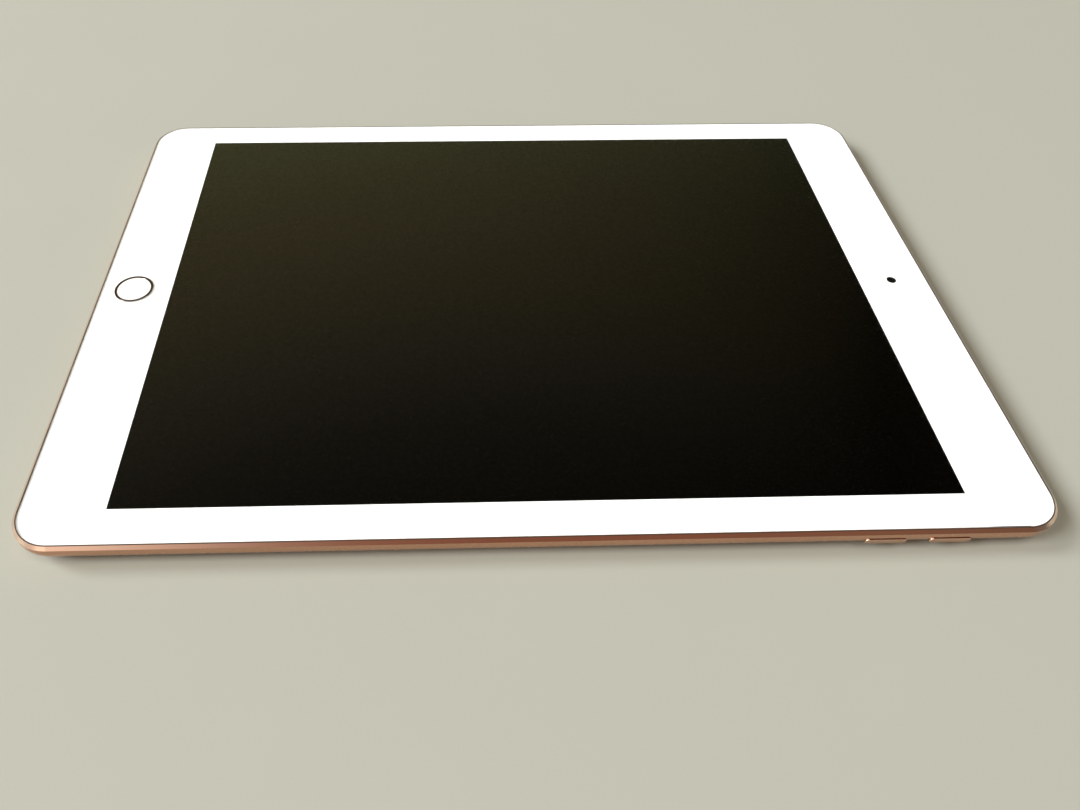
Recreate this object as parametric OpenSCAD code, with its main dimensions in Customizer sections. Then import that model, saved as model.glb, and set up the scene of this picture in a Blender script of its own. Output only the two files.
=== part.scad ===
// Slim tablet computer: aluminium housing, white-bordered cover glass, four sprung buttons.
// Frame: the flat back lies on z = 0, the screen faces +Z, the front camera end is +Y
// and the volume buttons are on +X. The origin is the centre of the flat back.

/* [Body] */
// Width of the body
body_w = 169.5; // [168:0.5:174]
// Length of the body
body_l = 240; // [238:0.5:246]
// Thickness of the body, from the flat back to the top of the glass
body_t = 7.5; // [7.5:0.1:8.2]
// Corner radius of the body in plan
corner_r = 10; // [9.5:0.5:12]
// How far the rounded underside reaches in from the edge
under_w = 9; // [8:0.5:9]
// Height of the rounded underside
under_h = 5.3; // [5.2:0.1:5.6]
// Thickness of the side wall
wall_t = 2.8; // [2.6:0.1:2.8]
// Thickness of the back wall
floor_t = 1; // [0.9:0.05:1]

/* [Screen] */
// Width of the opening in the white border
view_w = 148.8; // [146:0.2:150]
// Length of the opening in the white border
view_l = 198.4; // [194:0.2:199]
// Thickness of the cover glass
glass_t = 0.55; // [0.5:0.05:0.7]
// Gap between the edge of the body and the edge of the glass
glass_inset = 1.1; // [1.05:0.05:1.4]

/* [Home button] */
// Distance from the body's centre to the home button
home_y = 109.9; // [109:0.1:110]
// Outer radius of the metal ring
ring_r = 5.28; // [5:0.02:5.3]
// Width of the metal ring
ring_w = 0.6; // [0.4:0.05:0.7]
// How far the home button travels
home_travel = 0.25; // [0.15:0.05:0.25]

/* [Side buttons] */
// Length of each volume button
volume_l = 9.5; // [8:0.5:10]
// Position of the volume-up button along the side
volume_up_y = 92.6; // [91:0.1:94]
// Position of the volume-down button along the side
volume_down_y = 77.8; // [76:0.1:79]
// Length of the power button
power_l = 11; // [9:0.5:11]
// Position of the power button along the top edge
power_x = 63.75; // [62:0.25:64]
// Height of the side buttons
button_h = 1.5; // [1.4:0.1:2.2]
// How far the side buttons stand out
button_out = 0.25; // [0.2:0.05:0.6]
// Rounding of the side buttons' faces
button_edge = 0.2; // [0.1:0.05:0.35]
// How far the side buttons travel
button_travel = 0.2; // [0.15:0.05:0.3]

/* [Openings] */
// Radius of the headphone bore
jack_r = 1.8; // [1.76:0.02:1.84]
// Width of the charging slot
slot_w = 7.4; // [7:0.1:9]
// Height of the charging slot
slot_h = 2.2; // [2:0.1:2.4]
// Radius of each speaker hole
speaker_hole_r = 0.5; // [0.3:0.05:0.6]
// Speaker holes in each row
speaker_holes = 17; // [10:1:18]
// Distance between speaker holes
speaker_pitch = 2.2; // [1.8:0.1:2.3]
// Radius of the front camera's window
front_cam_r = 1.35; // [0.9:0.05:1.4]
// Radius of the rear camera's opening
rear_cam_r = 4.2; // [3.6:0.1:4.4]

/* [Hidden] */
$fn = 64;
half_w = body_w / 2;
half_l = body_l / 2;

// Cover glass and what is bonded under it, from the glass down
glass_bevel = 0.12;
bond_t = 0.02;
mask_t = 0.08;
tape_t = 0.1;
gasket_drop = 0.3;
z_glass = body_t - glass_t;
z_mask = z_glass - bond_t - mask_t;
z_ledge = z_mask - tape_t;

// Touch sensor, screen panel, light guide and their tray, from the glass down
touch_w = 158;
touch_l = 206;
sensor_t = 0.15;
lcd_gap = 0.2;
lcd_t = 0.95;
guide_t = 0.6;
tray_t = 0.2;
tray_w = 154;
tray_l = 203.2;
tray_wall = 0.4;
tray_tab_w = 5;
tray_tab_t = 0.4;
tray_tab_end = 2.2;
screen_gap = 0.2;
film_t = 0.15;
z_sensor = z_mask - sensor_t;
z_lcd_top = z_sensor - lcd_gap;
z_lcd = z_lcd_top - lcd_t;
z_tray = z_lcd - guide_t - tray_t;
panel_w = tray_w - 2 * (tray_wall + screen_gap);
panel_l = tray_l - 2 * (tray_wall + screen_gap);

// Rim: polished chamfer, a narrow flat and the upright of the glass pocket
rim_inset = 0.9;
rim_flat = 0.1;
rim_top = body_t - 0.2;
rim_chamfer_h = 0.7;
under_steps = 18;
// The hollow of the housing: inset from the edge and lowest height of each step
hollow_steps = [[rim_inset, z_ledge], [wall_t, 2.6], [4.5, 1.7], [7, floor_t]];

// Screws and the posts that take them
screw_head_r = 1.2;
screw_head_h = 0.4;
screw_r = 0.6;
screw_gap = 0.05;
post_r = 1.8;
post_root = 0.2;
hole_r = screw_r + screw_gap;
clear_hole_r = screw_r + 2 * screw_gap;
display_screw_l = 2.2;
camera_screw_l = 1.6;
bracket_screw_l = 3.2;
port_screw_l = 1.5;
speaker_screw_l = 1.6;
board_screw_l = 1.4;

// Home button: heights from the glass down to the bridge that carries the switch
home_button_drop = 0.1;
cap_top = body_t - 0.12;
cap_dish = 0.1;
cap_steps = 6;
ring_top = body_t - 0.03;
ring_bevel = 0.05;
z_home = z_glass - home_button_drop;
id_sensor_t = 0.2;
z_id_sensor = z_home - id_sensor_t;
z_carrier = z_glass - 1;
carrier_flange_t = 0.35;
carrier_flange_r = 6.6;
z_carrier_flange = z_carrier + 0.3;
z_carrier_boss = z_carrier - 0.3;
carrier_boss_r = 1.2;
seal_inner_r = 5.6;
seal_t = 0.2;
bridge_t = 0.4;
z_bridge = z_tray - 0.2;
bridge_half = 11;
bridge_leg_t = 1.4;
bridge_y = [-2.2, 4.7];
switch_base_t = 0.2;

// Side buttons
button_gap = 0.1;
flange_t = 0.5;
flange_rim = 0.45;
button_z = 4.15;
switch_gap = 0.05;
switch_t = 0.9;
dome_r = 0.7;
dome_h = 0.3;
side_flex_t = 0.15;
side_flex_h = 2;
bracket_t = 0.6;
bracket_h = 2.6;
boss_l = 4;
boss_z = [2.5, 5.6];
boss_root = 1.5;
// Depths behind the +Y edge: button flange and boss, then switch, flex and bracket
flange_face = half_l - wall_t - button_gap - flange_t;
boss_face = flange_face - 0.15;
switch_face = boss_face - button_travel - switch_gap;
flex_face = switch_face - switch_t;
bracket_face = flex_face - side_flex_t;
volume_mid = (volume_up_y + volume_down_y) / 2;
volume_span = 37.4;
volume_flex_l = 26;
power_span = 21;
power_flex_l = 9;

// Edge sockets
socket_z = 3.9;
jack_x = -66;
jack_wall = 4.5;
jack_depth = 14.5;
jack_end = 1;
jack_tube_r = jack_r + 0.35;
jack_block = [[-3.5, 1.5], [3.5, 6.1]];
jack_body = [3.4, 1.5];
jack_contact = [1, 1.1, 0.2];
jack_contact_pitch = 1.9;
port_depth = 7.7;
port_body = [10, 2.6];
port_ear_w = 18.8;
port_ear_t = 0.4;
port_ear_y = 1.8;
port_wall = 0.2;
pin_count = 8;
pin_pitch = 0.62;
pin = [0.34, 3.6, 0.12];

// Cameras, light sensor and microphone
cam_y = 108.9;
cam_size = 6.4;
cam_z = [3.4, 5.9];
cam_barrel_r = 1.6;
cam_foam_t = 0.15;
cam_foam_r = [1.45, 2.6];
cam_bracket = [20, 5.2, 0.4];
light_sensor_x = 15.5;
light_sensor_size = [3, 3, 0.9];
rear_cam_x = 70;
rear_cam_y = 106;
rear_ring_w = 0.7;
rear_ring_lip_r = 5.2;
rear_ring_lip_t = 0.25;
rear_window_z = [0.1, 0.7];
rear_barrel_z = 0.8;
rear_barrel_r = 3;
rear_cam_size = 8.4;
rear_cam_z = [1.3, 5];
mic_x = 59.5;
mic_r = 0.5;
mic_size = [3.2, 2.6, 1];
mic_port_r = 0.4;

// Logic board and what is on it
board_x = 61;
board_y = 17.5;
board_w = 30;
board_l = 155;
board_t = 0.7;
z_board = 1.9;
z_parts = z_board + board_t;
// Chips and connectors: centre, then width, length and height
chips = [
    [[board_x, 50], [14, 14, 0.9]],
    [[board_x - 6.5, 22], [9, 12, 0.9]],
    [[board_x + 6.5, 22], [9, 12, 0.9]],
    [[board_x, -4], [12, 14, 1]],
    [[board_x - 4, -26], [8, 8, 0.8]],
    [[board_x + 6, -30], [6, 6, 0.8]],
    [[board_x + 5, 78], [12, 9, 1.1]]
];
connectors = [
    [[55, 89.5], [8, 2.6, 0.9]],
    [[57, -54.5], [10, 2, 0.9]],
    [[50, -20], [2.4, 9, 0.7]],
    [[50, 4], [2.4, 9, 0.7]],
    [[66, -45], [7, 2.4, 0.7]]
];
shield_y = 37;
shield_size = [26, 46, 1.5];
shield_t = 0.2;

// Batteries
batt_t = 3.3;
batt_tape_t = 0.1;
batt_w = 57.5;
batt_l = 190;
batt_r = 1.5;
batt_left_x = -47.25;
batt_right_x = 13.25;
strip_w = 20;
strip_inset = 4;
strip_y = [-60, 0, 60];

// Speakers
speaker_x = 38;
speaker_w = 48;
speaker_back = -103;
speaker_top = 5.6;
speaker_ear = [6, 5, 0.5];
speaker_ear_y = -109;
speaker_rows = [3.5, 4.9];
mesh_t = 0.2;
mesh_w = 40;
mesh_top = 5.7;

// Antenna plates and cover magnets
antenna_x = 31;
antenna_z = 5.4;
antenna_size = [24, 11, 0.6];
antenna_y = 103.5;
antenna_feed = [40, 1.5, 0.2];
magnet_y = [-82, -58, 58, 82];
magnet_z = 2.7;
magnet_size = [2, 18, 3];

// Screw posts: their places, the height of their tops and the depth of their holes
display_posts = [[50, 105], [-50, 105], [70, -105], [-70, -105]];
speaker_posts = [[64.5, speaker_ear_y], [-64.5, speaker_ear_y]];
port_posts = [[7.6, -113.6], [-7.6, -113.6]];
camera_posts = [[7.8, cam_y], [-7.8, cam_y]];
board_posts = [for (x = [-1, 1], y = [-1, 1]) [board_x + x * 12, board_y + y * 74.5]];
z_speaker_post = 2.7;
z_port_post = 2.6;
z_camera_post = 3;
POSTS = [
    [display_posts, z_tray, 2.2],
    [speaker_posts, z_speaker_post, 1.4],
    [port_posts, z_port_post, 1.3],
    [camera_posts, z_camera_post, 1.6],
    [board_posts, z_board, 0.8]
];

// ---------------------------------------------------------------- shared shapes

// A rounded rectangle centred on the origin
module rounded_rect(w, l, r) {
    square([w - 2 * r, l], center = true);
    square([w, l - 2 * r], center = true);
    for (x = [-1, 1], y = [-1, 1])
        translate([x * (w / 2 - r), y * (l / 2 - r)])
            circle(r = r);
}

// A rounded plate from z up, h thick
module plate(w, l, r, z, h) {
    translate([0, 0, z])
        linear_extrude(h)
            rounded_rect(w, l, r);
}

// A body outline drawn in by inset
module inset_plate(inset, z, h) {
    plate(body_w - 2 * inset, body_l - 2 * inset, corner_r - inset, z, h);
}

// A band between two insets of the body outline
module inset_band(outer, inner, z, h) {
    difference() {
        inset_plate(outer, z, h);
        inset_plate(inner, z - 1, h + 2);
    }
}

// A box given by its lowest and highest corners
module box(low, high) {
    translate(low)
        cube(high - low);
}

// Sides and corners that carry one edge profile round a rounded rectangle.
// The profile is drawn in radius and height, from the corner's centre outwards.
module profiled_slab(w, l, r, profile, z_low, z_high) {
    mid_w = w - 2 * r;
    mid_l = l - 2 * r;
    box([-mid_w / 2, -mid_l / 2, z_low], [mid_w / 2, mid_l / 2, z_high]);
    for (side = [0, 1]) {
        mirror([side, 0, 0])
            translate([mid_w / 2, mid_l / 2, 0])
                rotate([90, 0, 0])
                    linear_extrude(mid_l)
                        polygon(profile);
        mirror([0, side, 0])
            translate([-mid_w / 2, mid_l / 2, 0])
                rotate([90, 0, 90])
                    linear_extrude(mid_w)
                        polygon(profile);
    }
    for (x = [0, 1], y = [0, 1])
        mirror([x, 0, 0])
            mirror([0, y, 0])
                translate([mid_w / 2, mid_l / 2, 0])
                    rotate_extrude(angle = 90, $fn = 96)
                        polygon(profile);
}

// A point of the rounded underside, from the flat back to the side wall
function under_point(a) = [corner_r - under_w + under_w * sin(a), under_h * (1 - cos(a))];

// A stadium w long and h high, standing in the x-z plane, from y0 to y1
module slot_y(w, h, y0, y1) {
    translate([0, y1, 0])
        rotate([90, 0, 0])
            linear_extrude(y1 - y0)
                stadium(w, h);
}

// A flat stadium outline
module stadium(w, h) {
    square([w - h, h], center = true);
    for (x = [-1, 1])
        translate([x * (w - h) / 2, 0])
            circle(d = h);
}

// A cylinder along y
module rod_y(r, y0, y1) {
    translate([0, y1, 0])
        rotate([90, 0, 0])
            cylinder(h = y1 - y0, r = r);
}

// A small screw with its head's underside at z = 0 and its thread below
module screw(length) {
    cylinder(h = screw_head_h, r = screw_head_r);
    translate([0, 0, -length])
        cylinder(h = length, r = screw_r);
}

// Screws standing at a list of places
module screws(places, z, length) {
    for (p = places)
        translate([p.x, p.y, z])
            screw(length);
}

// Posts that rise from the back wall
module posts(places, z) {
    for (p = places)
        translate([p.x, p.y, floor_t - post_root])
            cylinder(h = z - floor_t + post_root, r = post_r);
}

// Blind holes for screws, open at the posts' tops
module post_holes(places, z, depth) {
    for (p = places)
        translate([p.x, p.y, z - depth])
            cylinder(h = depth + 1, r = hole_r);
}

// Clearance holes through a thin part
module clear_holes(places) {
    for (p = places)
        translate([p.x, p.y, 0])
            cylinder(h = body_t, r = clear_hole_r);
}

// A block centred in x and y on a point, standing at height z
module block(at, size, z) {
    translate([at.x - size.x / 2, at.y - size.y / 2, z])
        cube(size);
}

// Moves a part drawn for the +Y edge to the +X edge, centred at y
module at_side(y) {
    translate([half_w - half_l, y, 0])
        rotate([0, 0, -90])
            children();
}

// ---------------------------------------------------------------- housing

module case_outer() {
    curve = [for (i = [0:under_steps]) under_point(90 * i / under_steps)];
    rim = [
        [corner_r, rim_top - rim_chamfer_h],
        [corner_r - rim_inset + rim_flat, rim_top],
        [0, rim_top]
    ];
    profiled_slab(body_w, body_l, corner_r, concat([[0, 0]], curve, rim), 0, rim_top);
}

module case_hollow() {
    for (s = hollow_steps)
        inset_plate(s[0], s[1], body_t);
}

// Blocks on the inner wall that take the button brackets' screws
module bracket_bosses(span) {
    for (x = [-1, 1])
        translate([x * (span - boss_l) / 2, 0, 0])
            box([-boss_l / 2, bracket_face, boss_z[0]], [boss_l / 2, half_l - boss_root, boss_z[1]]);
}

module bracket_screw_holes(span) {
    for (x = [-1, 1])
        translate([x * (span - boss_l) / 2, 0, button_z])
            rod_y(hole_r, bracket_face - 1,
                  bracket_face - bracket_t + bracket_screw_l + screw_gap);
}

module button_slot(length) {
    translate([0, 0, button_z])
        slot_y(length + 2 * button_gap, button_h + 2 * button_gap, half_l - wall_t - 1, half_l + 1);
}

module speaker_hole_rows() {
    for (side = [-1, 1], z = speaker_rows, i = [0:speaker_holes - 1])
        translate([side * speaker_x + (i - (speaker_holes - 1) / 2) * speaker_pitch, 0, z])
            rod_y(speaker_hole_r, -half_l - 1, -half_l + wall_t + 1, $fn = 24);
}

module rear_case() {
    color("#d9a68f")
        difference() {
            union() {
                difference() {
                    case_outer();
                    case_hollow();
                }
                for (p = POSTS)
                    posts(p[0], p[1]);
                at_side(volume_mid)
                    bracket_bosses(volume_span);
                translate([power_x, 0, 0])
                    bracket_bosses(power_span);
                translate([jack_x, 0, 0])
                    box([jack_block[0].x, half_l - jack_wall, jack_block[0].y],
                        [jack_block[1].x, half_l - wall_t + 0.4, jack_block[1].y]);
            }
            for (p = POSTS)
                post_holes(p[0], p[1], p[2]);
            at_side(volume_mid)
                bracket_screw_holes(volume_span);
            translate([power_x, 0, 0])
                bracket_screw_holes(power_span);
            for (y = [volume_up_y, volume_down_y])
                at_side(y)
                    button_slot(volume_l);
            translate([power_x, 0, 0])
                button_slot(power_l);
            translate([jack_x, 0, socket_z])
                rod_y(jack_r, half_l - jack_wall - 1, half_l + 1);
            translate([0, 0, socket_z])
                slot_y(slot_w, slot_h, -half_l - 1, -half_l + wall_t + 1);
            speaker_hole_rows();
            translate([rear_cam_x, rear_cam_y, -1])
                cylinder(h = floor_t + 2, r = rear_cam_r);
            translate([mic_x, rear_cam_y, -1])
                cylinder(h = floor_t + 2, r = mic_r);
        }
}

// ---------------------------------------------------------------- glass and screen

module home_hole(r, z, h) {
    translate([0, -home_y, z])
        cylinder(h = h, r = r);
}

module cover_glass() {
    r = corner_r - glass_inset;
    profile = [[0, z_glass], [r, z_glass], [r, body_t - glass_bevel], [r - glass_bevel, body_t],
               [0, body_t]];
    color("#f4f6f5", 0.35)
        difference() {
            profiled_slab(body_w - 2 * glass_inset, body_l - 2 * glass_inset, r, profile,
                          z_glass, body_t);
            home_hole(ring_r + button_gap, z_glass - 1, glass_t + 2);
        }
}

// Thin upright of soft plastic between the glass and the rim
module glass_gasket() {
    color("#3b2f2a")
        inset_band(rim_inset, glass_inset, z_mask, body_t - gasket_drop - z_mask);
}

module glass_adhesive() {
    color("#2a2a2a")
        inset_band(rim_inset + 0.05, wall_t, z_ledge, tape_t);
}

// White border printed on the back of the glass
module bezel_mask() {
    color("white")
        difference() {
            inset_plate(glass_inset, z_mask, mask_t);
            translate([-view_w / 2, -view_l / 2, z_mask - 1])
                cube([view_w, view_l, mask_t + 2]);
            home_hole(ring_r + button_gap, z_mask - 1, mask_t + 2);
            translate([0, cam_y, z_mask - 1])
                cylinder(h = mask_t + 2, r = front_cam_r);
        }
}

module touch_sensor() {
    color("#5a6266", 0.4)
        plate(touch_w, touch_l, 2, z_sensor, sensor_t);
}

// Film that hangs from the touch sensor's edge and turns in over the board
module touch_flex() {
    edge = touch_w / 2 - 1;
    z = z_parts + film_t;
    color("#8a5a1c") {
        box([edge, -22, z], [edge + film_t, 3, z_sensor]);
        box([edge - 6, -18, z], [edge + film_t / 2, -1, z + film_t]);
    }
}

module lcd_panel() {
    color("#101010")
        plate(panel_w, panel_l, 0.5, z_lcd, lcd_t);
}

module light_guide() {
    color("#e8eef0", 0.8)
        plate(panel_w, panel_l, 0.5, z_tray + tray_t, guide_t);
}

// Pressed metal tray with four screw tabs
module display_tray() {
    color("#b9bcc0")
        difference() {
            union() {
                plate(tray_w, tray_l, 0.8, z_tray, z_lcd_top - z_tray);
                for (p = display_posts)
                    tray_tab(p);
            }
            plate(tray_w - 2 * tray_wall, tray_l - 2 * tray_wall, 0.4, z_tray + tray_t, body_t);
            clear_holes(display_posts);
        }
}

// A tab that reaches from inside the tray's wall to just past its screw
module tray_tab(p) {
    reach = abs(p.y) + tray_tab_end - tray_l / 2 + 1;
    middle = sign(p.y) * (tray_l / 2 - 1 + reach / 2);
    block([p.x, middle], [tray_tab_w, reach, tray_tab_t], z_tray);
}

module display_screws() {
    color("#c9ccd0")
        screws(display_posts, z_tray + tray_tab_t, display_screw_l);
}

// Film that leaves the tray's underside and steps down to its connector on the board
module display_flex() {
    low = z_parts + 0.9;
    color("#8a5a1c") {
        box([52, -74, z_tray - film_t], [62, -56, z_tray]);
        box([52, -56 - film_t, low], [62, -56, z_tray]);
        box([52, -56 - film_t, low], [62, -53.5, low + film_t]);
    }
}

// ---------------------------------------------------------------- home button

module at_home() {
    translate([0, -home_y, 0])
        children();
}

// Slightly dished disc inside the ring
module home_button_cap() {
    r = ring_r - ring_w;
    dish_r = r - 0.2;
    dish = [for (i = [cap_steps:-1:0])
        [dish_r * i / cap_steps, cap_top - cap_dish + cap_dish * pow(i / cap_steps, 2)]];
    color("white")
        at_home()
            rotate_extrude($fn = 96)
                polygon(concat([[0, z_home], [r, z_home], [r, cap_top]], dish));
}

module home_button_ring() {
    inner = ring_r - ring_w;
    color("#8d7a70")
        at_home()
            rotate_extrude($fn = 96)
                polygon([
                    [inner, z_home], [ring_r, z_home], [ring_r, ring_top - ring_bevel],
                    [ring_r - ring_bevel, ring_top], [inner + ring_bevel, ring_top],
                    [inner, ring_top - ring_bevel]
                ]);
}

// Plastic carrier with a flange that rests under the glass and a boss that meets the switch
module home_button_carrier() {
    color("#2b2b2d")
        at_home() {
            translate([0, 0, z_carrier])
                cylinder(h = z_id_sensor - z_carrier, r = ring_r - 0.1);
            translate([0, 0, z_carrier_flange])
                cylinder(h = carrier_flange_t, r = carrier_flange_r);
            translate([0, 0, z_carrier_boss])
                cylinder(h = z_carrier - z_carrier_boss + 0.1, r = carrier_boss_r);
        }
}

module fingerprint_sensor() {
    color("#40444a")
        at_home()
            translate([0, 0, z_id_sensor])
                cylinder(h = id_sensor_t, r = ring_r - ring_w);
}

module home_button_seal() {
    color("#1c1c1c")
        at_home()
            difference() {
                translate([0, 0, z_mask - seal_t])
                    cylinder(h = seal_t, r = carrier_flange_r);
                cylinder(h = body_t, r = seal_inner_r);
            }
}

// Bridge that hangs from the glass and carries the switch
module home_button_bracket() {
    color("#b9bcc0")
        at_home()
            difference() {
                box([-bridge_half, bridge_y[0], z_bridge], [bridge_half, bridge_y[1], z_mask]);
                box([-bridge_half + bridge_leg_t, bridge_y[0] - 1, z_bridge + bridge_t],
                    [bridge_half - bridge_leg_t, bridge_y[1] + 1, body_t]);
            }
}

module home_button_switch() {
    base = z_bridge + bridge_t;
    color("#d4c9a0")
        at_home() {
            block([0, 0], [4, 3.8, switch_base_t], base);
            translate([0, 0, base + switch_base_t / 2])
                cylinder(h = z_carrier_boss - home_travel - 0.02 - base - switch_base_t / 2, r = 1.5);
        }
}

// Thin film from the button's bridge round the lower end of the board
module home_button_flex() {
    t = 0.05;
    z = z_bridge - t;
    color("#8a5a1c") {
        box([-2.5, -111, z], [2.5, -97.5, z + t]);
        box([-2.5, -100, z], [58, -97.5, z + t]);
        box([54, -100, z], [58, -76, z + t]);
    }
}

// ---------------------------------------------------------------- front camera

module front_camera_window() {
    color("#0a0a0c")
        translate([0, cam_y, z_mask])
            cylinder(h = mask_t, r = front_cam_r - 0.02);
}

module front_camera() {
    color("#232326")
        translate([0, cam_y, 0]) {
            block([0, 0], [cam_size, cam_size, cam_z[1] - cam_z[0]], cam_z[0]);
            translate([0, 0, cam_z[1] - 0.1])
                cylinder(h = z_mask - cam_foam_t - cam_z[1] + 0.1, r = cam_barrel_r);
        }
}

module front_camera_gasket() {
    color("#151515")
        translate([0, cam_y, 0])
            difference() {
                translate([0, 0, z_mask - cam_foam_t])
                    cylinder(h = cam_foam_t, r = cam_foam_r[1]);
                cylinder(h = body_t, r = cam_foam_r[0]);
            }
}

module front_camera_bracket() {
    color("#b9bcc0")
        difference() {
            block([0, cam_y], cam_bracket, z_camera_post);
            clear_holes(camera_posts);
        }
}

module light_sensor() {
    color("#3a3a3c")
        block([light_sensor_x, cam_y], light_sensor_size, z_mask - light_sensor_size.z);
}

// ---------------------------------------------------------------- side buttons

// A button for the +Y edge: a bar with a rounded face and a flange behind the wall
module edge_button(length) {
    face = half_l + button_out;
    r = button_h / 2 - 0.05;
    rounding = [for (a = [0:15:90])
        [r - button_edge + button_edge * cos(a), face - button_edge + button_edge * sin(a)]];
    translate([0, 0, button_z])
        rotate([-90, 0, 0])
            profiled_slab(length, button_h, r, concat([[0, boss_face], [r, boss_face]], rounding,
                                                      [[0, face]]), boss_face, face);
    translate([0, 0, button_z])
        slot_y(length + 2 * flange_rim, button_h + 2 * flange_rim, flange_face,
               flange_face + flange_t);
}

module edge_switch() {
    translate([0, 0, button_z]) {
        box([-1.9, flex_face, -1.2], [1.9, switch_face - dome_h, 1.2]);
        rod_y(dome_r, flex_face + dome_h, switch_face, $fn = 48);
    }
}

module edge_flex(length) {
    box([-length / 2, bracket_face, button_z - side_flex_h / 2],
        [length / 2, flex_face, button_z + side_flex_h / 2]);
}

// Steel strip that is screwed to the bosses and backs the switches
module edge_bracket(span) {
    difference() {
        box([-span / 2, bracket_face - bracket_t, button_z - bracket_h / 2],
            [span / 2, bracket_face, button_z + bracket_h / 2]);
        for (x = [-1, 1])
            translate([x * (span - boss_l) / 2, 0, button_z])
                rod_y(clear_hole_r, bracket_face - 2, bracket_face + 1);
    }
}

module edge_screws(span) {
    for (x = [-1, 1])
        translate([x * (span - boss_l) / 2, bracket_face - bracket_t, button_z])
            rotate([90, 0, 0])
                screw(bracket_screw_l);
}

module volume_up_button() {
    color("#cf9a82")
        at_side(volume_up_y)
            edge_button(volume_l);
}

module volume_down_button() {
    color("#cf9a82")
        at_side(volume_down_y)
            edge_button(volume_l);
}

module volume_bracket() {
    color("#9da0a4")
        at_side(volume_mid)
            edge_bracket(volume_span);
}

module volume_switches() {
    color("#d4c9a0")
        for (y = [volume_up_y, volume_down_y])
            at_side(y)
                edge_switch();
}

module volume_flex() {
    color("#8a5a1c")
        at_side(volume_mid)
            edge_flex(volume_flex_l);
}

module power_button() {
    color("#cf9a82")
        translate([power_x, 0, 0])
            edge_button(power_l);
}

module power_bracket() {
    color("#9da0a4")
        translate([power_x, 0, 0])
            edge_bracket(power_span);
}

module power_switch() {
    color("#d4c9a0")
        translate([power_x, 0, 0])
            edge_switch();
}

module power_flex() {
    color("#8a5a1c")
        translate([power_x, 0, 0])
            edge_flex(power_flex_l);
}

module bracket_screws() {
    color("#c9ccd0") {
        at_side(volume_mid)
            edge_screws(volume_span);
        translate([power_x, 0, 0])
            edge_screws(power_span);
        screws(camera_posts, z_camera_post + cam_bracket.z, camera_screw_l);
    }
}

// ---------------------------------------------------------------- sockets

module headphone_jack() {
    front = half_l - jack_wall;
    back = half_l - jack_depth - jack_end;
    color("#2c2c2e")
        translate([jack_x, 0, socket_z])
            difference() {
                union() {
                    rod_y(jack_tube_r, back, front);
                    box([-jack_body.x, back, -jack_body.y],
                        [jack_body.x, front - 1.5, jack_body.y]);
                }
                rod_y(jack_r, back + jack_end, front + 1);
            }
}

// Four spring contacts in a row on top of the jack's body
module jack_contacts() {
    first = half_l - jack_depth + 0.2;
    color("#d8b45a")
        for (i = [0:3])
            translate([jack_x + jack_body.x - jack_contact.x, first + i * jack_contact_pitch,
                       socket_z + jack_body.y])
                cube(jack_contact);
}

module charging_port() {
    front = -half_l + wall_t;
    back = -half_l + port_depth;
    ear_front = front + port_ear_y;
    color("#8b8e92")
        difference() {
            union() {
                box([-port_body.x / 2, front, z_port_post],
                    [port_body.x / 2, back, z_port_post + port_body.y]);
                box([-port_ear_w / 2, ear_front, z_port_post],
                    [port_ear_w / 2, back, z_port_post + port_ear_t]);
            }
            translate([0, 0, socket_z])
                slot_y(slot_w - 2 * port_wall, slot_h - 2 * port_wall, front - 1, back - 0.5);
            clear_holes(port_posts);
        }
}

module port_contacts() {
    floor_z = socket_z - slot_h / 2 + port_wall;
    color("#d8b45a")
        for (i = [0:pin_count - 1])
            translate([(i - (pin_count - 1) / 2) * pin_pitch - pin.x / 2, -half_l + wall_t + 0.5,
                       floor_z])
                cube(pin);
}

module port_screws() {
    color("#c9ccd0")
        screws(port_posts, z_port_post + port_ear_t, port_screw_l);
}

// ---------------------------------------------------------------- speakers and microphone

// A closed speaker box with a screw ear at its outer end
module speaker(side) {
    front = -half_l + wall_t + mesh_t;
    ear_x = side * (speaker_x + speaker_w / 2 + speaker_ear.x / 2 - 1);
    color("#1d1d1f")
        difference() {
            union() {
                block([side * speaker_x, (front + speaker_back) / 2],
                      [speaker_w, speaker_back - front, speaker_top - z_speaker_post],
                      z_speaker_post);
                block([ear_x, speaker_ear_y], speaker_ear, z_speaker_post);
            }
            clear_holes(speaker_posts);
        }
}

module speaker_left() {
    speaker(-1);
}

module speaker_right() {
    speaker(1);
}

module speaker_mesh() {
    front = -half_l + wall_t;
    color("#141414")
        for (side = [-1, 1])
            block([side * speaker_x, front + mesh_t / 2],
                  [mesh_w, mesh_t, mesh_top - z_speaker_post], z_speaker_post);
}

module speaker_screws() {
    color("#c9ccd0")
        screws(speaker_posts, z_speaker_post + speaker_ear.z, speaker_screw_l);
}

// Small can on the inside of the back wall, open towards its hole
module microphone() {
    color("#c8b27a")
        difference() {
            block([mic_x, rear_cam_y], mic_size, floor_t);
            translate([mic_x, rear_cam_y, 0])
                cylinder(h = floor_t + mic_size.z / 2, r = mic_port_r, $fn = 32);
        }
}

// ---------------------------------------------------------------- rear camera

module at_rear_camera() {
    translate([rear_cam_x, rear_cam_y, 0])
        children();
}

module rear_camera_window() {
    color("#0c0c10")
        at_rear_camera()
            translate([0, 0, rear_window_z[0]])
                cylinder(h = rear_window_z[1] - rear_window_z[0], r = rear_cam_r - rear_ring_w - 0.05);
}

// Trim ring with a lip that bears on the inside of the back wall
module rear_camera_ring() {
    inner = rear_cam_r - rear_ring_w;
    outer = rear_cam_r - 0.04;
    lip_top = floor_t + rear_ring_lip_t;
    color("#c9927b")
        at_rear_camera()
            rotate_extrude($fn = 96)
                polygon([
                    [inner, 0], [outer, 0], [outer, floor_t], [rear_ring_lip_r, floor_t],
                    [rear_ring_lip_r, lip_top], [inner, lip_top]
                ]);
}

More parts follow.
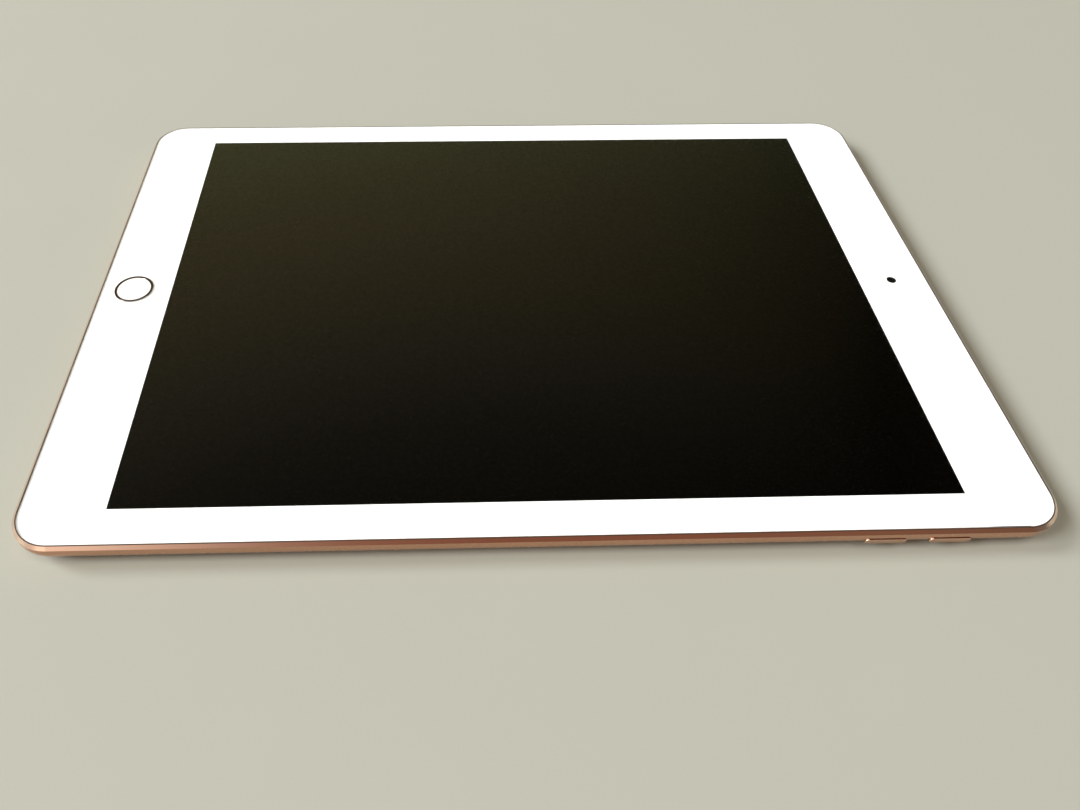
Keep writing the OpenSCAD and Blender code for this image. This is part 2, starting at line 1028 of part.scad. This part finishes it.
module rear_camera() {
    color("#1c1c1e")
        at_rear_camera() {
            block([0, 0], [rear_cam_size, rear_cam_size, rear_cam_z[1] - rear_cam_z[0]],
                  rear_cam_z[0]);
            translate([0, 0, rear_barrel_z])
                cylinder(h = rear_cam_z[0] - rear_barrel_z + 0.1, r = rear_barrel_r);
        }
}

// ---------------------------------------------------------------- power and electronics

module battery_cell(x) {
    color("#2f3133")
        translate([x, 0, 0])
            plate(batt_w, batt_l, batt_r, floor_t + batt_tape_t, batt_t);
}

module battery_cell_left() {
    battery_cell(batt_left_x);
}

module battery_cell_right() {
    battery_cell(batt_right_x);
}

// Protection board between the cells' upper ends
module battery_board() {
    color("#2d6b3c")
        block([-15, 97.4], [38, 4, 0.8], 1.4);
}

// Flat lead from the protection board, along the cells and up to the logic board
module battery_lead() {
    t = 0.2;
    z = 1.2;
    top = z_parts + 0.9;
    color("#8a5a1c") {
        box([-4, 96, z], [58, 98.6, z + t]);
        box([52, 95.6, z], [58, 96.1, top + t]);
        box([52, 88, top], [58, 96, top + t]);
    }
}

module battery_adhesive() {
    color("#e9e6df")
        for (x = [batt_left_x, batt_right_x], y = strip_y)
            block([x, y], [batt_w - 2 * strip_inset, strip_w, batt_tape_t], floor_t);
}

module logic_board() {
    color("#1f4d36")
        difference() {
            translate([board_x, board_y, 0])
                plate(board_w, board_l, 1, z_board, board_t);
            clear_holes(board_posts);
        }
}

module board_chips() {
    color("#222325")
        for (c = chips)
            block(c[0], c[1], z_parts);
}

// Pressed can over the processor and memory
module board_shield() {
    inside = shield_size - [2 * shield_t, 2 * shield_t, shield_t];
    color("#c2c5c9")
        difference() {
            block([board_x, shield_y], shield_size, z_parts);
            block([board_x, shield_y], [inside.x, inside.y, inside.z + 1], z_parts - 1);
        }
}

module board_connectors() {
    color("#111111")
        for (c = connectors)
            block(c[0], c[1], z_parts);
}

module board_screws() {
    color("#c9ccd0")
        screws(board_posts, z_parts, board_screw_l);
}

// Two antenna plates under the border at the camera end, joined by a flat feed line
module wifi_antennas() {
    color("#b5803c") {
        for (side = [-1, 1])
            block([side * antenna_x, antenna_y + antenna_size.y / 2], antenna_size, antenna_z);
        block([0, antenna_y + antenna_size.y - antenna_feed.y / 2], antenna_feed, antenna_z);
    }
}

module cover_magnets() {
    color("#a9abad")
        for (y = magnet_y)
            block([-half_w + wall_t + magnet_size.x / 2, y], magnet_size, magnet_z);
}

rear_case();
cover_glass();
glass_gasket();
glass_adhesive();
bezel_mask();
touch_sensor();
touch_flex();
lcd_panel();
light_guide();
display_tray();
display_screws();
display_flex();
home_button_cap();
home_button_ring();
home_button_carrier();
fingerprint_sensor();
home_button_seal();
home_button_bracket();
home_button_switch();
home_button_flex();
front_camera_window();
front_camera();
front_camera_gasket();
front_camera_bracket();
light_sensor();
volume_up_button();
volume_down_button();
volume_bracket();
volume_switches();
volume_flex();
power_button();
power_bracket();
power_switch();
power_flex();
bracket_screws();
headphone_jack();
jack_contacts();
charging_port();
port_contacts();
port_screws();
speaker_left();
speaker_right();
speaker_mesh();
speaker_screws();
microphone();
rear_camera_window();
rear_camera_ring();
rear_camera();
battery_cell_left();
battery_cell_right();
battery_board();
battery_lead();
battery_adhesive();
logic_board();
board_chips();
board_shield();
board_connectors();
board_screws();
wifi_antennas();
cover_magnets();
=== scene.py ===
"""Looks of the tablet computer: a material for every piece, floor, light and camera."""
import math

import bpy
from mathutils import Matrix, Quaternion, Vector


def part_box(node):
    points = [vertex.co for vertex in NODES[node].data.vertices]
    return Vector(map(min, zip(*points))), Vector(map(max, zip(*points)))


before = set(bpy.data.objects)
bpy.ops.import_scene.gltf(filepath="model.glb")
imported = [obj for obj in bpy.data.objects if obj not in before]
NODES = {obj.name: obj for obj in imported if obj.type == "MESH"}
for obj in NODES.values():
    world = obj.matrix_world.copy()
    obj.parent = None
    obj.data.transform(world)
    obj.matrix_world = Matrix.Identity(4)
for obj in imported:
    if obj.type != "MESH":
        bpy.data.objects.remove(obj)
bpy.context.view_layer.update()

MM = 0.001
ORIGIN = Vector((0.0, 0.0, 0.0))
# Where the volume buttons, the power button and the screen face
RIGHT = Vector((1.0, 0.0, 0.0))
FAR = Vector((0.0, 1.0, 0.0))
UP = Vector((0.0, 0.0, 1.0))


# ---------------------------------------------------------------- node helpers

class Nodes:
    """A node tree, with short calls to add and join nodes. A call returns the new node or its
    output, and any input may be a number, a colour or another node's output."""

    def __init__(self, tree):
        self.tree = tree

    def add(self, kind, inputs=None, **settings):
        node = self.tree.nodes.new("ShaderNode" + kind)
        for key, value in settings.items():
            setattr(node, key, value)
        for key, value in (inputs or {}).items():
            self.put(node.inputs[key], value)
        return node

    def put(self, socket, value):
        if isinstance(value, bpy.types.NodeSocket):
            self.tree.links.new(value, socket)
        else:
            socket.default_value = value

    def axis(self, vector, name):
        return self.add("SeparateXYZ", {"Vector": vector}).outputs[name]

    def math(self, operation, a, b=0.0):
        node = self.add("Math", operation=operation)
        self.put(node.inputs[0], a)
        self.put(node.inputs[1], b)
        return node.outputs[0]

    def remap(self, value, low, high, to_low, to_high):
        node = self.add("MapRange", {"From Min": low, "From Max": high,
                                     "To Min": to_low, "To Max": to_high})
        self.put(node.inputs["Value"], value)
        return node.outputs["Result"]

    def mix(self, factor, a, b, blend="MIX"):
        """Mixed colour. Inputs 6 and 7 and output 2 are the node's colour sockets."""
        node = self.add("Mix", data_type="RGBA", blend_type=blend)
        self.put(node.inputs["Factor"], factor)
        self.put(node.inputs[6], a)
        self.put(node.inputs[7], b)
        return node.outputs[2]

    def ramp(self, value, stops):
        """Colour that runs through stops, each a place from 0 to 1 and a colour."""
        node = self.add("ValToRGB", {"Fac": value})
        elements = node.color_ramp.elements
        while len(elements) < len(stops):
            elements.new(0.5)
        for element, (place, colour) in zip(elements, stops):
            element.position = place
            element.color = colour
        return node.outputs["Color"]


class Shader(Nodes):
    """One material with a Principled shader."""

    def __init__(self, name, **sockets):
        self.material = bpy.data.materials.new(name)
        self.material.use_nodes = True
        super().__init__(self.material.node_tree)
        self.bsdf = self.tree.nodes["Principled BSDF"]
        self.output = self.tree.nodes["Material Output"]
        for socket, value in sockets.items():
            self.bsdf.inputs[socket.replace("_", " ")].default_value = value

    def point(self):
        return self.add("TexCoord").outputs["Object"]

    def noise(self, size, detail=3.0, roughness=0.5, vector=None):
        """Noise from 0 to 1 whose features are about size metres across."""
        node = self.add("TexNoise", {"Scale": 1 / size, "Detail": detail, "Roughness": roughness})
        self.put(node.inputs["Vector"], vector or self.point())
        return node.outputs["Fac"]

    def radius(self, centre):
        """Distance from the upright line through centre."""
        flat = self.add("VectorMath", {0: self.point(), 1: (1.0, 1.0, 0.0)}, operation="MULTIPLY")
        away = self.add("VectorMath", {0: flat.outputs[0], 1: (centre.x, centre.y, 0.0)},
                        operation="DISTANCE")
        return away.outputs["Value"]

    def bump(self, height, depth, strength=1.0):
        node = self.add("Bump", {"Strength": strength, "Distance": depth, "Height": height})
        return node.outputs["Normal"]

    def set(self, **sockets):
        for socket, value in sockets.items():
            self.put(self.bsdf.inputs[socket.replace("_", " ")], value)

    def finish_with(self, shader):
        self.tree.links.new(shader, self.output.inputs["Surface"])
        return self.material


def rgb(r, g, b):
    """A colour given in linear light, as a node socket takes it."""
    return (r, g, b, 1.0)


def assign(material, *nodes):
    for name in nodes:
        mesh = NODES[name].data
        mesh.materials.clear()
        mesh.materials.append(material)


def middle_of(node):
    low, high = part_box(node)
    return (low + high) / 2


# ---------------------------------------------------------------- materials

ROSE = rgb(0.58, 0.32, 0.207)
ROSE_CLOUDED = rgb(0.55, 0.30, 0.192)
ROSE_BUTTON = rgb(0.50, 0.30, 0.20)
ROSE_WORN = rgb(0.56, 0.34, 0.235)
ROSE_POLISHED = rgb(0.88, 0.64, 0.52)
ROSE_POLISHED_RUBBED = rgb(0.82, 0.58, 0.46)
# The polished chamfer of the rim starts this far below the top of the glass
CHAMFER_DROP = 0.89 * MM
# The satin wall turns into the polished chamfer over twice this height
CHAMFER_BLUR = 0.02 * MM


def anodised_aluminium():
    """Fine bead-blasted rose aluminium, polished on the chamfer round the glass."""
    s = Shader("anodised_aluminium", Metallic=1.0)
    chamfer_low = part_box("cover_glass")[1].z - CHAMFER_DROP
    height = s.axis(s.point(), "Z")
    polished = s.remap(height, chamfer_low - CHAMFER_BLUR, chamfer_low + CHAMFER_BLUR, 0.0, 1.0)
    satin = s.math("SUBTRACT", 1.0, polished)
    blast = s.noise(0.12 * MM, detail=2.0)
    cloud = s.noise(18 * MM, detail=4.0)
    wear = s.noise(2.5 * MM, detail=6.0, roughness=0.65)
    tint = s.mix(s.remap(cloud, 0.3, 0.7, 0.0, 1.0), ROSE, ROSE_CLOUDED)
    s.set(Base_Color=s.mix(polished, tint, ROSE_POLISHED))
    satin_rough = s.math("ADD", s.remap(wear, 0.3, 0.75, 0.22, 0.30),
                         s.remap(blast, 0.3, 0.7, -0.03, 0.03))
    polished_rough = s.remap(wear, 0.35, 0.75, 0.07, 0.13)
    s.set(Roughness=s.remap(polished, 0.0, 1.0, satin_rough, polished_rough))
    grain = s.math("MULTIPLY", blast, satin)
    s.set(Normal=s.bump(grain, 0.012 * MM, strength=0.5))
    return s.material


def button_aluminium():
    """Satin face of the side buttons, a little brighter where fingers rub it."""
    s = Shader("button_aluminium", Metallic=1.0)
    blast = s.noise(0.1 * MM, detail=2.0)
    rub = s.noise(1.6 * MM, detail=5.0, roughness=0.6)
    s.set(Base_Color=s.mix(s.remap(rub, 0.35, 0.7, 0.0, 1.0), ROSE_BUTTON, ROSE_WORN))
    s.set(Roughness=s.remap(rub, 0.3, 0.75, 0.15, 0.23))
    s.set(Normal=s.bump(blast, 0.006 * MM, strength=0.3))
    return s.material


def cover_glass():
    """Clear glass with faint smears. It bends what is seen; lamps shine straight through."""
    s = Shader("cover_glass", Transmission_Weight=1.0, IOR=1.5, Base_Color=rgb(0.985, 0.99, 0.988))
    smear = s.noise(22 * MM, detail=5.0, roughness=0.6)
    s.set(Roughness=s.remap(smear, 0.35, 0.75, 0.015, 0.05))
    clear = s.add("BsdfTransparent", {"Color": rgb(0.96, 0.965, 0.963)})
    shadow = s.add("LightPath").outputs["Is Shadow Ray"]
    both = s.add("MixShader", {0: shadow, 1: s.bsdf.outputs[0], 2: clear.outputs[0]})
    return s.finish_with(both.outputs[0])


def ground_edge():
    """Frosted edge of the cover glass, as grinding leaves it."""
    s = Shader("ground_edge", Roughness=0.6)
    grit = s.noise(0.08 * MM, detail=3.0)
    s.set(Base_Color=s.mix(grit, rgb(0.84, 0.77, 0.73), rgb(0.76, 0.69, 0.65)))
    s.set(Normal=s.bump(grit, 0.004 * MM, strength=0.4))
    return s.material


def polished_edge():
    """Bright cut edge of the side buttons."""
    s = Shader("polished_edge", Metallic=1.0)
    rub = s.noise(0.6 * MM, detail=4.0)
    s.set(Base_Color=s.mix(rub, ROSE_POLISHED, ROSE_POLISHED_RUBBED))
    s.set(Roughness=s.remap(rub, 0.3, 0.7, 0.08, 0.14))
    return s.material


def assign_sides(material, name, outward, least_turn):
    """Puts a second material on the faces of a node that are turned at least that many
    degrees away from the line along outward."""
    mesh = NODES[name].data
    mesh.materials.append(material)
    for face in mesh.polygons:
        if abs(face.normal.dot(outward)) < math.cos(math.radians(least_turn)):
            face.material_index = 1


def touch_film():
    """Clear film that mirrors only a little, on its upper face."""
    s = Shader("touch_film")
    s.tree.nodes.remove(s.bsdf)
    clear = s.add("BsdfTransparent", {"Color": rgb(0.95, 0.955, 0.95)})
    haze = s.remap(s.noise(40 * MM, detail=4.0), 0.35, 0.75, 0.05, 0.08)
    gloss = s.add("BsdfGlossy", {"Roughness": haze})
    fresnel = s.add("Fresnel", {"IOR": 1.5}).outputs["Fac"]
    front = s.math("SUBTRACT", 1.0, s.add("NewGeometry").outputs["Backfacing"])
    share = s.math("MULTIPLY", s.math("MULTIPLY", fresnel, front), 0.08)
    both = s.add("MixShader", {0: share, 1: clear.outputs[0], 2: gloss.outputs[0]})
    return s.finish_with(both.outputs[0])


def printed_border():
    """Hard white ink behind the glass, with a barely uneven print."""
    s = Shader("printed_border", Roughness=0.55)
    mottle = s.noise(6 * MM, detail=4.0)
    fine = s.noise(0.25 * MM, detail=2.0)
    s.set(Base_Color=s.mix(s.remap(mottle, 0.3, 0.7, 0.0, 1.0),
                           rgb(0.93, 0.925, 0.915), rgb(0.905, 0.905, 0.90)))
    s.set(Normal=s.bump(fine, 0.004 * MM, strength=0.2))
    return s.material


def dark_screen():
    """Switched-off panel: near black, with a faintly uneven soft sheen."""
    s = Shader("dark_screen", Specular_IOR_Level=0.05)
    haze = s.noise(30 * MM, detail=3.0)
    s.set(Base_Color=s.mix(haze, rgb(0.0006, 0.0005, 0.0004), rgb(0.0004, 0.0004, 0.0005)))
    s.set(Roughness=s.remap(s.noise(1.2 * MM), 0.3, 0.7, 0.24, 0.30))
    return s.material


def brushed_metal(name, colour, rough_low, rough_high, size=0.8 * MM, depth=0.004 * MM):
    """Metal with fine, slightly darker lines along X."""
    s = Shader(name, Metallic=1.0)
    # The noise is this many times finer across X than along it
    finer = 14.0
    squeezed = s.add("Mapping", {"Vector": s.point(), "Scale": (1.0, finer, finer)}).outputs[0]
    lines = s.noise(size, detail=4.0, vector=squeezed)
    darker = rgb(*(c * 0.86 for c in colour[:3]))
    s.set(Base_Color=s.mix(lines, colour, darker))
    s.set(Roughness=s.remap(lines, 0.3, 0.7, rough_low, rough_high))
    s.set(Normal=s.bump(lines, depth, strength=0.4))
    return s.material


def turned_ring():
    """Dark polished ring with fine circular lines round the home button's centre."""
    s = Shader("turned_ring", Metallic=1.0)
    lines = s.add("TexNoise", {"Scale": 1 / (0.06 * MM), "Detail": 2.0}, noise_dimensions="1D")
    s.put(lines.inputs["W"], s.radius(middle_of("home_button_ring")))
    s.set(Base_Color=s.mix(lines.outputs["Fac"], rgb(0.25, 0.215, 0.20), rgb(0.20, 0.17, 0.16)))
    s.set(Roughness=s.remap(lines.outputs["Fac"], 0.3, 0.7, 0.16, 0.24))
    return s.material


def moulded_plastic(name, colour, rough_low, rough_high, grain=0.15 * MM, depth=0.01 * MM):
    """Plastic, tape, film or foil with a fine grain and a faintly uneven colour."""
    s = Shader(name)
    fine = s.noise(grain, detail=3.0)
    broad = s.noise(grain * 30, detail=3.0)
    lighter = rgb(*(min(1.0, c * 1.12 + 0.002) for c in colour[:3]))
    s.set(Base_Color=s.mix(broad, colour, lighter))
    s.set(Roughness=s.remap(broad, 0.3, 0.7, rough_low, rough_high))
    s.set(Normal=s.bump(fine, depth, strength=0.4))
    return s.material


def woven_mesh():
    """Acoustic mesh behind the speaker holes: two crossed sets of threads."""
    s = Shader("woven_mesh", Roughness=0.8)
    pitch = 0.16 * MM
    parts = s.add("SeparateXYZ", {"Vector": s.point()})
    across = s.math("SINE", s.math("MULTIPLY", parts.outputs["X"], math.tau / pitch))
    along = s.math("SINE", s.math("MULTIPLY", parts.outputs["Z"], math.tau / pitch))
    weave = s.math("MAXIMUM", s.math("ABSOLUTE", across), s.math("ABSOLUTE", along))
    s.set(Base_Color=s.mix(weave, rgb(0.004, 0.004, 0.004), rgb(0.05, 0.05, 0.052)))
    s.set(Normal=s.bump(weave, 0.03 * MM, strength=0.6))
    return s.material


def circuit_board():
    """Solder mask with faint copper tracks under it."""
    s = Shader("circuit_board", Roughness=0.35)
    tracks = s.add("TexBrick", {"Vector": s.point(), "Scale": 1 / (6 * MM), "Mortar Size": 0.03,
                                "Color1": rgb(0.015, 0.09, 0.05), "Color2": rgb(0.018, 0.10, 0.055),
                                "Mortar": rgb(0.03, 0.16, 0.08)})
    s.set(Base_Color=tracks.outputs["Color"])
    s.set(Normal=s.bump(tracks.outputs["Fac"], 0.02 * MM, strength=0.4))
    return s.material


def button_face():
    """Hard white disc of the home button."""
    s = Shader("button_face")
    faint = s.noise(1.5 * MM, detail=3.0)
    s.set(Base_Color=s.mix(faint, rgb(0.90, 0.895, 0.885), rgb(0.87, 0.868, 0.86)))
    s.set(Roughness=s.remap(s.noise(4 * MM, detail=4.0), 0.3, 0.7, 0.14, 0.24))
    return s.material


def camera_window(node):
    """Dark coated window with the lens behind it drawn into its colour: dark rings, and painted glints
    for the lens's violet reflection and its lighter rims.
    """
    s = Shader(node + "_glass", IOR=1.5, Specular_IOR_Level=0.3)
    low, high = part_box(node)
    share = s.math("DIVIDE", s.radius(middle_of(node)), (high.x - low.x) / 2)
    # Painted glints: the violet centre and the thin lighter rings stand in for the lens's reflections
    lens_rings_and_painted_glints = s.ramp(share, [
        (0.00, rgb(0.010, 0.006, 0.016)), (0.20, rgb(0.006, 0.005, 0.012)),
        (0.24, rgb(0.0015, 0.0015, 0.002)), (0.40, rgb(0.002, 0.002, 0.0025)),
        (0.43, rgb(0.012, 0.012, 0.013)), (0.47, rgb(0.003, 0.003, 0.003)),
        (0.70, rgb(0.0025, 0.0025, 0.003)), (0.74, rgb(0.006, 0.006, 0.006)),
        (0.78, rgb(0.002, 0.002, 0.002))])
    s.set(Base_Color=lens_rings_and_painted_glints)
    s.set(Roughness=s.remap(s.noise(0.8 * MM), 0.3, 0.7, 0.03, 0.07))
    return s.material


def paint_nodes():
    """Gives every CAD node its material."""
    assign(anodised_aluminium(), "rear_case", "rear_camera_ring")
    assign(button_aluminium(), "volume_up_button", "volume_down_button", "power_button")
    edge = polished_edge()
    for name, outward in (("volume_up_button", RIGHT), ("volume_down_button", RIGHT),
                          ("power_button", FAR)):
        assign_sides(edge, name, outward, least_turn=15)
    assign(cover_glass(), "cover_glass")
    assign_sides(ground_edge(), "cover_glass", UP, least_turn=60)
    assign(touch_film(), "touch_sensor")
    assign(printed_border(), "bezel_mask")
    assign(dark_screen(), "lcd_panel")
    assign(button_face(), "home_button_cap")
    assign(turned_ring(), "home_button_ring")
    for window in ("front_camera_window", "rear_camera_window"):
        assign(camera_window(window), window)
    assign(moulded_plastic("dark_gasket", rgb(0.075, 0.050, 0.040), 0.55, 0.7),
           "glass_gasket", "home_button_seal", "front_camera_gasket")
    assign(moulded_plastic("black_tape", rgb(0.012, 0.012, 0.012), 0.6, 0.75), "glass_adhesive")
    assign(moulded_plastic("white_tape", rgb(0.75, 0.74, 0.70), 0.6, 0.75), "battery_adhesive")
    assign(moulded_plastic("diffuser", rgb(0.78, 0.80, 0.80), 0.4, 0.55), "light_guide")
    assign(moulded_plastic("dark_plastic", rgb(0.018, 0.018, 0.020), 0.4, 0.55),
           "home_button_carrier", "front_camera", "headphone_jack", "speaker_left", "speaker_right",
           "rear_camera", "board_chips", "board_connectors", "light_sensor")
    assign(moulded_plastic("battery_foil", rgb(0.06, 0.062, 0.066), 0.3, 0.42, grain=0.6 * MM),
           "battery_cell_left", "battery_cell_right")
    assign(moulded_plastic("sensor_chip", rgb(0.05, 0.055, 0.065), 0.15, 0.25), "fingerprint_sensor")
    assign(moulded_plastic("polyimide_film", rgb(0.30, 0.14, 0.03), 0.28, 0.4),
           "touch_flex", "display_flex", "home_button_flex", "volume_flex", "power_flex",
           "battery_lead", "wifi_antennas")
    assign(brushed_metal("pressed_steel", rgb(0.55, 0.56, 0.58), 0.28, 0.4),
           "display_tray", "home_button_bracket", "front_camera_bracket", "volume_bracket",
           "power_bracket", "board_shield", "charging_port", "cover_magnets")
    assign(brushed_metal("screw_steel", rgb(0.62, 0.63, 0.65), 0.22, 0.32, size=0.3 * MM),
           "display_screws", "bracket_screws", "port_screws", "speaker_screws", "board_screws")
    assign(brushed_metal("switch_metal", rgb(0.60, 0.53, 0.36), 0.25, 0.35),
           "home_button_switch", "volume_switches", "power_switch", "microphone")
    assign(brushed_metal("gold_plate", rgb(0.85, 0.60, 0.25), 0.16, 0.24, size=0.2 * MM),
           "jack_contacts", "port_contacts")
    assign(woven_mesh(), "speaker_mesh")
    assign(circuit_board(), "battery_board", "logic_board")


# ---------------------------------------------------------------- floor, light and camera

def make_floor():
    """A plain pale floor under the tablet, with painted shade that darkens it beyond the front camera
    end.
    """
    reach = 40.0
    mesh = bpy.data.meshes.new("floor")
    corners = [(-reach, -reach), (reach, -reach), (reach, reach), (-reach, reach)]
    mesh.from_pydata([(x, y, 0.0) for x, y in corners], [], [(0, 1, 2, 3)])
    floor = bpy.data.objects.new("floor", mesh)
    bpy.context.scene.collection.objects.link(floor)
    s = Shader("floor", Roughness=0.75, Specular_IOR_Level=0.2)
    soft = s.noise(0.05, detail=5.0)
    pale = s.mix(soft, rgb(0.40, 0.41, 0.36), rgb(0.425, 0.435, 0.38))
    # Painted shade: the colour darkens towards +Y, standing in for light that falls off there
    painted_shade_along_y = s.remap(s.axis(s.point(), "Y"), -0.3, 0.3, 0.0, 1.0)
    close_by = s.mix(painted_shade_along_y, pale, rgb(0.37, 0.375, 0.325))
    # Far off it meets the colour of the surroundings, so that no hard horizon shows
    far_off = s.remap(s.radius(ORIGIN), 0.7, 3.5, 0.0, 1.0)
    s.set(Base_Color=s.mix(far_off, close_by, rgb(0.392, 0.410, 0.362)))
    s.set(Normal=s.bump(s.noise(0.6 * MM, detail=3.0), 0.05 * MM, strength=0.25))
    mesh.materials.append(s.material)


def bearing(azimuth, elevation):
    """Unit vector. Azimuth turns from +X towards +Y, in degrees."""
    a, e = math.radians(azimuth), math.radians(elevation)
    return Vector((math.cos(a) * math.cos(e), math.sin(a) * math.cos(e), math.sin(e)))


PALE = rgb(0.56, 0.565, 0.48)
# Soft bright patches that the near rim mirrors: direction, spread and colour
GLOWS = [
    (bearing(azimuth=-44, elevation=36), 0.04, rgb(1.2, 1.1, 0.97)),
    (bearing(azimuth=-80, elevation=14), 0.07, rgb(0.34, 0.33, 0.31)),
]


def make_world():
    """Surroundings for the glass and metal to mirror: pale low down, dark brown overhead,
    dimmer towards the front camera end, with soft bright patches by the home button end."""
    world = bpy.data.worlds.new("studio")
    bpy.context.scene.world = world
    world.use_nodes = True
    n = Nodes(world.node_tree)
    way = n.add("TexCoord").outputs["Generated"]
    up = n.axis(way, "Z")
    # Colours by height: across the tablet from the camera (-X), and on the camera's side (+X)
    beyond = n.ramp(up, [
        (0.00, PALE), (0.22, PALE), (0.38, rgb(0.34, 0.32, 0.20)), (0.52, rgb(0.235, 0.225, 0.10)),
        (0.60, rgb(0.225, 0.187, 0.090)), (0.66, rgb(0.195, 0.162, 0.078)),
        (0.72, rgb(0.140, 0.122, 0.075)), (0.78, rgb(0.085, 0.073, 0.048)),
        (0.84, rgb(0.05, 0.045, 0.032)), (0.92, rgb(0.02, 0.02, 0.02))])
    near = n.ramp(up, [
        (0.00, PALE), (0.22, PALE), (0.45, rgb(0.24, 0.15, 0.10)), (0.58, rgb(0.21, 0.11, 0.075)),
        (0.66, rgb(0.23, 0.095, 0.06)), (0.80, rgb(0.20, 0.10, 0.06)),
        (0.92, rgb(0.03, 0.03, 0.03))])
    # Across the tablet it gets darker towards the front camera end (+Y)
    along = n.math("POWER", n.remap(n.axis(way, "Y"), -0.25, 0.48, 0.0, 1.0), 1.8)
    dimmer = n.math("MULTIPLY", along, n.remap(up, 0.22, 0.45, 0.0, 0.9))
    beyond = n.mix(dimmer, beyond, rgb(0.0, 0.0, 0.0))
    room = n.mix(n.remap(n.axis(way, "X"), -0.35, 0.35, 0.0, 1.0), beyond, near)
    # Straight out from that end it is nearly black above the floor
    end = n.math("MULTIPLY", n.remap(n.axis(way, "Y"), 0.45, 0.95, 0.0, 0.8),
                 n.remap(up, 0.10, 0.25, 0.0, 1.0))
    room = n.mix(end, room, rgb(0.03, 0.02, 0.015))
    for patch, spread, colour in GLOWS:
        close = n.add("VectorMath", {0: way, 1: patch}, operation="DOT_PRODUCT").outputs["Value"]
        glow = n.math("EXPONENT", n.math("DIVIDE", n.math("SUBTRACT", close, 1.0), spread))
        room = n.mix(1.0, room, n.mix(glow, rgb(0.0, 0.0, 0.0), colour), blend="ADD")
    n.put(world.node_tree.nodes["Background"].inputs["Color"], room)


def lit_group(state, *names):
    """Group of nodes that a lamp leaves out (EXCLUDE), or the only ones it lights (INCLUDE)."""
    group = bpy.data.collections.new("lit_group")
    for name in names:
        group.objects.link(NODES[name])
    for member in group.collection_objects:
        member.light_linking.link_state = state
    return group


def broad_light(name, azimuth, elevation, spread, strength, colour, group):
    """A distant soft light, so that the floor stays even. The spread is in degrees."""
    light = bpy.data.lights.new(name, "SUN")
    light.angle = math.radians(spread)
    light.energy = strength
    light.color = colour
    lamp = bpy.data.objects.new(name, light)
    lamp.rotation_euler = (-bearing(azimuth, elevation)).to_track_quat("-Z", "Y").to_euler()
    lamp.visible_camera = False
    lamp.light_linking.receiver_collection = group
    bpy.context.scene.collection.objects.link(lamp)


def make_camera():
    """The photograph's viewpoint: beside the volume buttons, looking down across the glass.
    It is held tilted by a small roll."""
    roll = math.radians(0.636)
    data = bpy.data.cameras.new("camera")
    data.sensor_width = 36.0
    data.lens = 27.388
    data.shift_x = 0.07068
    data.clip_start = 0.01
    place = Vector((0.17873, -0.02167, 0.16604))
    aim = Vector((0.03902, -0.01678, 0.0))
    level = (aim - place).to_track_quat("-Z", "Y")
    camera = bpy.data.objects.new("camera", data)
    camera.location = place
    camera.rotation_mode = "QUATERNION"
    camera.rotation_quaternion = level @ Quaternion(UP, roll)
    bpy.context.scene.collection.objects.link(camera)
    bpy.context.scene.camera = camera


def light_scene():
    make_world()
    # No lamp shines on the clear and dark layers, where it would show as a disc
    matt = lit_group("EXCLUDE", "cover_glass", "touch_sensor", "lcd_panel")
    for name, azimuth in (("key_left", -103), ("key_right", -75)):
        broad_light(name, azimuth, elevation=35, spread=19, strength=2.4,
                    colour=(0.96, 0.98, 1.0), group=matt)
    broad_light("top", azimuth=25, elevation=75, spread=30, strength=1.15, colour=(1.0, 0.92, 0.80),
                group=matt)
    # The photograph overexposes the white border, so one lamp is for the border alone
    border = lit_group("INCLUDE", "bezel_mask")
    broad_light("border", azimuth=-60, elevation=70, spread=40, strength=2.6, colour=(0.96, 0.98, 1.0),
                group=border)


paint_nodes()
make_floor()
light_scene()
make_camera()
bpy.context.scene.view_settings.view_transform = "Standard"
